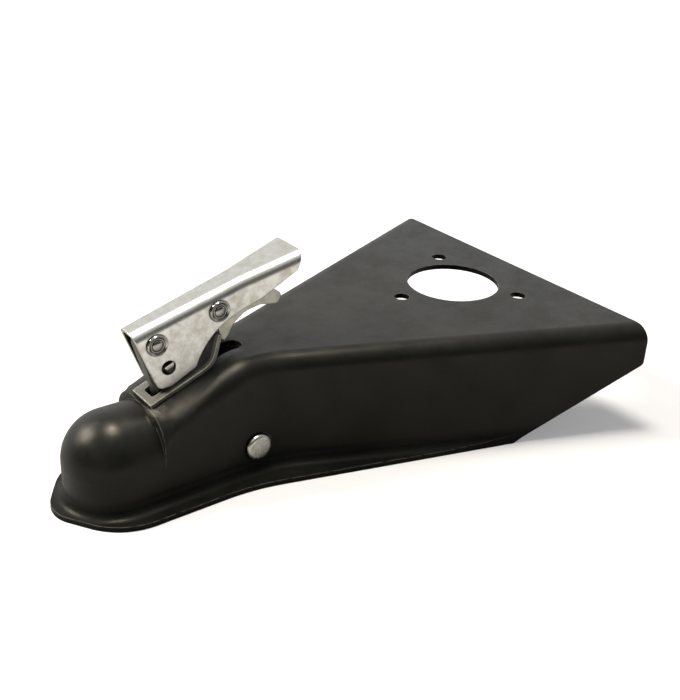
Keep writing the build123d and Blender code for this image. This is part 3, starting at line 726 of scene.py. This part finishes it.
class Workbench:
    """Hand tools for new pieces, which start from a primitive and are shaped in edit mode."""

    smooth_below: float = math.radians(32.0)
    edge_steps: int = 2
    weld: float = 1e-7

    @staticmethod
    def deselect() -> None:
        """Clears the selection."""
        bpy.ops.object.select_all(action="DESELECT")

    @classmethod
    def ring(cls, name: str, radius: float, sides: int, centre: Place,
             turn: Place = (0.0, 0.0, 0.0)) -> bpy.types.Object:
        """Starts a piece as a filled ring.

        Args:
            name: Name of the piece.
            radius: Radius of the ring in metres.
            sides: Number of its corners.
            centre: Its centre in metres.
            turn: Its turn about each axis in radians.

        Returns:
            The piece, with its place in its mesh.
        """
        cls.deselect()
        bpy.ops.mesh.primitive_circle_add(vertices=sides, radius=radius, fill_type="NGON",
                                          location=centre, rotation=turn)
        piece = bpy.context.object
        piece.name = name
        bpy.ops.object.transform_apply(location=True, rotation=True, scale=True)
        return piece

    @classmethod
    def turned(cls, name: str, profile: Profile, sides: int, edge: float) -> bpy.types.Object:
        """Turns a closed piece about the Z axis, ring after ring.

        Args:
            name: Name of the piece.
            profile: Radius and height of each ring in millimetres, from below.
            sides: Number of corners of a ring.
            edge: Rounding of the edges in millimetres.

        Returns:
            The piece.
        """
        radius, height = profile[0]
        piece = cls.ring(name, radius * MM, sides, (0.0, 0.0, height * MM))
        bpy.ops.object.mode_set(mode="EDIT")
        bpy.ops.mesh.select_all(action="SELECT")
        for next_radius, next_height in profile[1:]:
            rise = (0.0, 0.0, (next_height - height) * MM)
            bpy.ops.mesh.extrude_region_move(TRANSFORM_OT_translate={"value": rise})
            share = next_radius / radius
            bpy.ops.transform.resize(value=(share, share, 1.0),
                                     center_override=(0.0, 0.0, next_height * MM))
            radius, height = next_radius, next_height
        cls.face_outwards()
        bevel = piece.modifiers.new("edges", "BEVEL")
        bevel.width = edge * MM
        bevel.segments = cls.edge_steps
        bevel.limit_method = "ANGLE"
        bevel.angle_limit = cls.smooth_below
        bpy.ops.object.modifier_apply(modifier=bevel.name)
        return piece

    @classmethod
    def coil(cls, name: str, coil: Coil) -> bpy.types.Object:
        """Winds a wire about the Z axis.

        Args:
            name: Name of the piece.
            coil: Sizes of the winding.

        Returns:
            The piece.
        """
        upright = (0.5 * math.pi, 0.0, 0.0)
        piece = cls.ring(name, coil.wire * MM, coil.sides, (coil.mean * MM, 0.0, 0.0), upright)
        wind = piece.modifiers.new("winding", "SCREW")
        wind.axis = "Z"
        wind.angle = 2.0 * math.pi * coil.turns
        wind.screw_offset = coil.pitch * coil.turns * MM
        wind.iterations = 1
        wind.steps = wind.render_steps = round(coil.steps * coil.turns)
        wind.use_merge_vertices = True
        wind.merge_threshold = cls.weld
        bpy.ops.object.modifier_apply(modifier=wind.name)
        if coil.leg:
            cls.legs(piece, coil)
        bpy.ops.object.mode_set(mode="EDIT")
        bpy.ops.mesh.select_all(action="SELECT")
        bpy.ops.mesh.remove_doubles(threshold=cls.weld)
        bpy.ops.mesh.fill_holes(sides=0)
        cls.face_outwards()
        return piece

    @staticmethod
    def legs(piece: bpy.types.Object, coil: Coil) -> None:
        """Draws both ends of a winding out into straight legs.

        Args:
            piece: The wound wire.
            coil: Sizes of the winding.
        """
        reach = (0.0, -coil.leg * MM, 0.0)
        last = len(piece.data.vertices)
        for ends in (range(coil.sides), range(last - coil.sides, last)):
            bpy.ops.object.mode_set(mode="EDIT")
            bpy.ops.mesh.select_mode(type="VERT")
            bpy.ops.mesh.select_all(action="DESELECT")
            bpy.ops.object.mode_set(mode="OBJECT")
            for corner in ends:
                piece.data.vertices[corner].select = True
            bpy.ops.object.mode_set(mode="EDIT")
            bpy.ops.mesh.select_mode(type="EDGE")
            bpy.ops.mesh.extrude_region_move(TRANSFORM_OT_translate={"value": reach})
            bpy.ops.object.mode_set(mode="OBJECT")

    @staticmethod
    def face_outwards() -> None:
        """Turns all faces of the piece in hand outwards and leaves edit mode."""
        bpy.ops.mesh.select_all(action="SELECT")
        bpy.ops.mesh.normals_make_consistent(inside=False)
        bpy.ops.object.mode_set(mode="OBJECT")

    @classmethod
    def seat(cls, piece: bpy.types.Object, place: Matrix) -> None:
        """Sets a piece in its place, smooths it and leaves its object at the origin.

        Args:
            piece: The piece, made about the Z axis.
            place: Its place on the part in metres.
        """
        cls.deselect()
        piece.select_set(True)
        bpy.context.view_layer.objects.active = piece
        piece.matrix_world = place
        bpy.ops.object.transform_apply(location=True, rotation=True, scale=True)
        bpy.ops.object.shade_smooth_by_angle(angle=cls.smooth_below)


@dataclass
class SubAssembly:
    """Pieces that belong together, dressed in the finishes of their slots."""

    finishes: Finishes
    sides: int = 96
    pole: float = 0.05

    def dress(self, *names: str) -> None:
        """Dresses nodes of the frame in the finishes of their slots.

        Args:
            names: Names of the nodes.
        """
        for name in names:
            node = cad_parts[name]
            slot = Slot(node.data.materials[0].name)
            self.finishes.dress(node, slot)
            LOG.info("%s: %s", name, slot.value)

    def hand_over(self, piece: bpy.types.Object, slot: Slot, body: Body, node: str = "") -> None:
        """Dresses a new piece and ties it to its body.

        Args:
            piece: The new piece.
            slot: Slot of its finish.
            body: Body that it moves with.
            node: Node that it stands for, if any.
        """
        self.finishes.dress(piece, slot)
        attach(piece, body.value)
        if node:
            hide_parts(node)
        LOG.info("%s: %s on %s", piece.name, slot.value, body.value)

    @staticmethod
    def across(x: float, z: float) -> Matrix:
        """Gives the place of a piece whose axis lies across the part.

        Args:
            x: Station of the axis in millimetres.
            z: Height of the axis in millimetres.

        Returns:
            The place, with local +Z towards -Y.
        """
        quarter = Matrix.Rotation(0.5 * math.pi, 4, "X")
        return Matrix.Translation((x * MM, 0.0, z * MM)) @ quarter

    @staticmethod
    def mirrored(half: Profile) -> Profile:
        """Completes a profile with its mirror image below.

        Args:
            half: Rings from the middle to the upper end.

        Returns:
            Rings from the lower to the upper end.
        """
        return [(radius, -height) for radius, height in reversed(half)] + half

    @staticmethod
    def bow(start: Ring, end: Ring, steps: int) -> Profile:
        """Rounds a profile by a quarter of an ellipse that starts upright and ends level.

        Args:
            start: First ring, where the profile is upright.
            end: Last ring, where the profile is level.
            steps: Number of rings after the first.

        Returns:
            The rings, the first left out.
        """
        rings = []
        for step in range(1, steps + 1):
            angle = 0.5 * math.pi * step / steps
            rings.append((end[0] + (start[0] - end[0]) * math.cos(angle),
                          start[1] + (end[1] - start[1]) * math.sin(angle)))
        return rings


@dataclass
class PressedShell(SubAssembly):
    """Painted shell with its cross pin, spacers and the strip on the ramp, in millimetres."""

    pin: Station = (81.7, -5.9)
    pin_radius: float = 5.0
    pin_edge: float = 0.12
    head_radius: float = 8.8
    head_seat: float = 29.3
    head_wall: float = 0.9
    head_crown: float = 32.5
    head_flat: float = 6.2
    head_steps: int = 8

    def cross_pin(self) -> None:
        """Turns the cross pin with a button head on each wall."""
        shoulder = (self.head_radius, self.head_seat + self.head_wall)
        half = [(self.pin_radius, 0.0), (self.pin_radius, self.head_seat),
                (self.head_radius, self.head_seat), shoulder]
        half += self.bow(shoulder, (self.head_flat, self.head_crown), self.head_steps)
        half.append((self.pole, self.head_crown))
        piece = Workbench.turned("cross_pin", self.mirrored(half), self.sides, self.pin_edge)
        Workbench.seat(piece, self.across(*self.pin))
        self.hand_over(piece, Slot.PIN_ZINC, Body.SHELL, "clamp_pivot_pin")

    def build(self) -> None:
        """Dresses the shell and makes its pin."""
        self.dress("coupler_body", "channel_slide", "pivot_spacer_left", "pivot_spacer_right",
                   "spring_seat")
        self.cross_pin()


@dataclass
class LatchLever(SubAssembly):
    """Folded lever with its rivets, the trigger and the trigger's spring, in millimetres."""

    lever_pivot: Station = (26.9, 68.8)
    trigger_pivot: Station = (66.8, 80.7)
    lever_seat: float = 9.647
    trigger_seat: float = 10.901
    web_slope: float = 0.2789
    rivet_radius: float = 4.0
    rivet_edge: float = 0.06
    rivet_head: Tuple[Ring, ...] = (
        (6.6, 0.0), (6.6, 0.7), (6.15, 1.5), (5.6, 1.5), (5.45, 1.15), (5.2, 1.1),
        (4.75, 0.85), (4.55, 0.45), (4.3, 0.4), (3.7, 0.4), (3.5, 0.65),
    )
    rivet_crown: float = 1.9
    crown_steps: int = 10
    spring: Coil = Coil(mean=6.5, wire=0.6, pitch=1.26, turns=3.5, leg=16.0)

    def rivet(self, name: str, pivot: Station, seat: float, node: str) -> None:
        """Turns a rivet whose heads are coined rings round a domed core.

        Args:
            name: Name of the piece.
            pivot: Station and height of its axis.
            seat: Distance of the lever wall from the middle.
            node: Node that it stands for.
        """
        half = [(self.rivet_radius, 0.0), (self.rivet_radius, seat)]
        half += [(radius, seat + height) for radius, height in self.rivet_head]
        half += self.bow(half[-1], (self.pole, seat + self.rivet_crown), self.crown_steps)
        piece = Workbench.turned(name, self.mirrored(half), self.sides, self.rivet_edge)
        Workbench.seat(piece, self.across(*pivot))
        self.hand_over(piece, Slot.RIVET_ZINC, Body.LEVER, node)

    def trigger_spring(self) -> None:
        """Winds the round wire of the trigger's spring."""
        piece = Workbench.coil("trigger_spring_wire", self.spring)
        up = Vector((-self.web_slope, 0.0, 1.0)).normalized()
        axis = Vector((0.0, -1.0, 0.0))
        turn = Matrix((up, axis.cross(up), axis)).transposed().to_4x4()
        x, z = self.trigger_pivot
        start = (x * MM, 0.5 * self.spring.pitch * self.spring.turns * MM, z * MM)
        Workbench.seat(piece, Matrix.Translation(start) @ turn)
        self.hand_over(piece, Slot.SPRING_STEEL, Body.LEVER, "trigger_spring")

    def build(self) -> None:
        """Dresses the lever and makes its rivets and spring."""
        self.dress("latch_lever", "lever_spacer_left", "lever_spacer_right", "trigger",
                   "trigger_sleeve")
        self.rivet("lever_pivot_rivet", self.lever_pivot, self.lever_seat, "lever_rivet")
        self.rivet("trigger_pivot_rivet", self.trigger_pivot, self.trigger_seat, "trigger_rivet")
        self.trigger_spring()


@dataclass
class ClampStack(SubAssembly):
    """Ball clamp with the draw bolt, its nut and washers and its spring, in millimetres."""

    eye: Station = (26.9, 68.8)
    lean: float = 0.13376
    spring_depth: float = 73.126
    bolt_end: float = 94.9
    spring: Coil = Coil(mean=7.7, wire=1.0, pitch=6.035, turns=5.0)
    thread: Coil = Coil(mean=4.62, wire=0.42, pitch=1.5, turns=17.0, sides=3, steps=30)

    def on_bolt(self, depth: float) -> Matrix:
        """Gives a place on the bolt's axis.

        Args:
            depth: Distance below the eye in millimetres.

        Returns:
            The place, with local +Z up the bolt.
        """
        x, z = self.eye
        foot = Vector((x + depth * math.sin(self.lean), 0.0, z - depth * math.cos(self.lean)))
        return Matrix.Translation(foot * MM) @ Matrix.Rotation(-self.lean, 4, "Y")

    def opening_spring(self) -> None:
        """Winds the round wire of the spring between the clamp and its seat."""
        piece = Workbench.coil("clamp_spring_wire", self.spring)
        half_turn = Matrix.Rotation(math.pi, 4, "Z")
        Workbench.seat(piece, self.on_bolt(self.spring_depth) @ half_turn)
        self.hand_over(piece, Slot.SPRING_STEEL, Body.SHELL, "clamp_spring")

    def bolt_thread(self) -> None:
        """Winds the thread on the lower end of the bolt."""
        piece = Workbench.coil("bolt_thread", self.thread)
        Workbench.seat(piece, self.on_bolt(self.bolt_end))
        self.hand_over(piece, Slot.BOLT_ZINC, Body.BOLT)

    def build(self) -> None:
        """Dresses the clamp and makes its spring and the bolt's thread."""
        self.dress("ball_clamp", "draw_bolt", "rocker_washer", "nut_washer", "lock_nut")
        self.opening_spring()
        self.bolt_thread()


@dataclass(frozen=True)
class Lamp:
    """Square soft lamp: direction and distance from the part, side in metres, power in watts."""

    name: str
    towards: Place
    distance: float
    size: float
    power: float


@dataclass
class Studio:
    """Pale floor, soft lamps and the camera, in metres."""

    floor_reach: float = 6.0
    floor_colour: Colour = (0.63, 0.63, 0.635)
    floor_shade: Colour = (0.27, 0.27, 0.265)
    shade_side: Place = (-0.378, -0.926, 0.0)
    shade_fade: Zone = (0.05, 0.17, 1.0, 0.0)
    floor_fade: Zone = (0.35, 1.2, 0.23, 1.0)
    bright_side: Place = (0.62, 0.785, 0.0)
    backdrop: Zone = (-0.25, 0.35, 0.08, 0.80)
    upper_dim: Zone = (0.45, 0.85, 1.0, 0.55)
    ceiling: Zone = (0.40, 0.90, 0.05, 0.64)
    room_light: float = 0.29
    white: Colour = (1.0, 1.0, 1.0)
    lamp_tint: Colour = (1.0, 0.94, 0.86)
    lamps: Tuple[Lamp, ...] = (
        Lamp("overhead_lamp", (0.065, 0.031, 0.997), 1.2, 0.30, 15.5),
        Lamp("side_lamp", (-0.552, 0.477, 0.684), 1.3, 0.26, 21.5),
    )
    lens: float = 54.22
    near_clip: float = 0.01
    eye: Place = (-0.217743, -0.483772, 0.338762)
    yaw: float = 0.6689
    pitch: float = 0.4717
    roll: float = 0.0488375

    def camera(self) -> None:
        """Sets the camera at the photograph's viewing angle."""
        ahead = Vector((math.sin(self.yaw) * math.cos(self.pitch),
                        math.cos(self.yaw) * math.cos(self.pitch), -math.sin(self.pitch)))
        level = Vector((math.cos(self.yaw), -math.sin(self.yaw), 0.0))
        upright = level.cross(ahead)
        right = level * math.cos(self.roll) + upright * math.sin(self.roll)
        up = upright * math.cos(self.roll) - level * math.sin(self.roll)
        turn = Matrix((right, up, -ahead)).transposed().to_4x4()
        bpy.ops.object.camera_add()
        camera = bpy.context.object
        camera.matrix_world = Matrix.Translation(self.eye) @ turn
        camera.data.lens = self.lens
        camera.data.clip_start = self.near_clip
        bpy.context.scene.camera = camera

    def floor(self, height: float) -> None:
        """Lays the pale floor under the part, darker in reflections beside the near wall.

        Args:
            height: Level of the floor in metres.
        """
        Workbench.deselect()
        bpy.ops.mesh.primitive_plane_add(size=self.floor_reach, location=(0.0, 0.0, height))
        floor = bpy.context.object
        floor.name = "studio_floor"
        sheet = NodeSheet(bpy.data.materials.new("studio_floor"))
        seen = sheet.add("ShaderNodeLightPath").outputs
        shade = sheet.spread(sheet.along(sheet.place, self.shade_side), *self.shade_fade)
        tone = sheet.blend(sheet.times(seen["Is Glossy Ray"], shade),
                           self.floor_colour, self.floor_shade)
        lift = sheet.spread(sheet.apart(), *self.floor_fade, eased=False)
        glow = sheet.add("ShaderNodeEmission", Strength=sheet.times(seen["Is Camera Ray"], lift))
        matt = sheet.add("ShaderNodeBsdfDiffuse", Color=tone)
        both = sheet.add("ShaderNodeAddShader")
        sheet.plug(both.inputs[0], matt.outputs["BSDF"])
        sheet.plug(both.inputs[1], glow.outputs["Emission"])
        sheet.add("ShaderNodeOutputMaterial", Surface=both.outputs["Shader"])
        floor.data.materials.append(sheet.owner)
        floor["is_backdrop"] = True

    def world(self) -> None:
        """Sets the room light, with a white background and zones that show in reflections."""
        room = bpy.data.worlds.new("studio_room")
        bpy.context.scene.world = room
        sheet = NodeSheet(room, "Generated")
        seen = sheet.add("ShaderNodeLightPath").outputs
        height = sheet.on_axis(Axis.HEIGHT)
        side = sheet.along(sheet.place, self.bright_side)
        wall = sheet.times(sheet.spread(side, *self.backdrop),
                           sheet.spread(height, *self.upper_dim))
        zones = sheet.join(Join.HIGHER, wall, sheet.spread(height, *self.ceiling))
        mirrored = sheet.join(Join.HIGHER, seen["Is Glossy Ray"], seen["Is Transmission Ray"])
        light = sheet.between(mirrored, self.room_light, zones)
        light = sheet.between(seen["Is Camera Ray"], light, 1.0)
        glow = sheet.add("ShaderNodeBackground", Color=self.white, Strength=light)
        sheet.add("ShaderNodeOutputWorld", Surface=glow.outputs["Background"])

    def hang(self, lamp: Lamp) -> None:
        """Hangs a lamp that faces the part.

        Args:
            lamp: The lamp.
        """
        bpy.ops.object.light_add(type="AREA")
        hung = bpy.context.object
        hung.name = lamp.name
        hung.data.size = lamp.size
        hung.data.energy = lamp.power
        hung.data.color = self.lamp_tint
        ray = Vector(lamp.towards).normalized()
        hung.location = ray * lamp.distance
        hung.rotation_mode = "QUATERNION"
        hung.rotation_quaternion = ray.to_track_quat("Z", "Y")

    def build(self, floor_level: float) -> None:
        """Builds the whole studio.

        Args:
            floor_level: Height of the floor in metres.
        """
        self.camera()
        self.floor(floor_level)
        self.world()
        for lamp in self.lamps:
            self.hang(lamp)
        bpy.context.scene.view_settings.view_transform = "Standard"


def main() -> None:
    """Dresses the coupling head and sets up its studio."""
    logging.basicConfig(level=logging.INFO, format="%(message)s")
    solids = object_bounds()
    Workbench.deselect()
    finishes = Finishes()
    for group in (PressedShell(finishes), LatchLever(finishes), ClampStack(finishes)):
        group.build()
    Studio().build(solids[0].z)


if __name__ == "__main__":
    main()
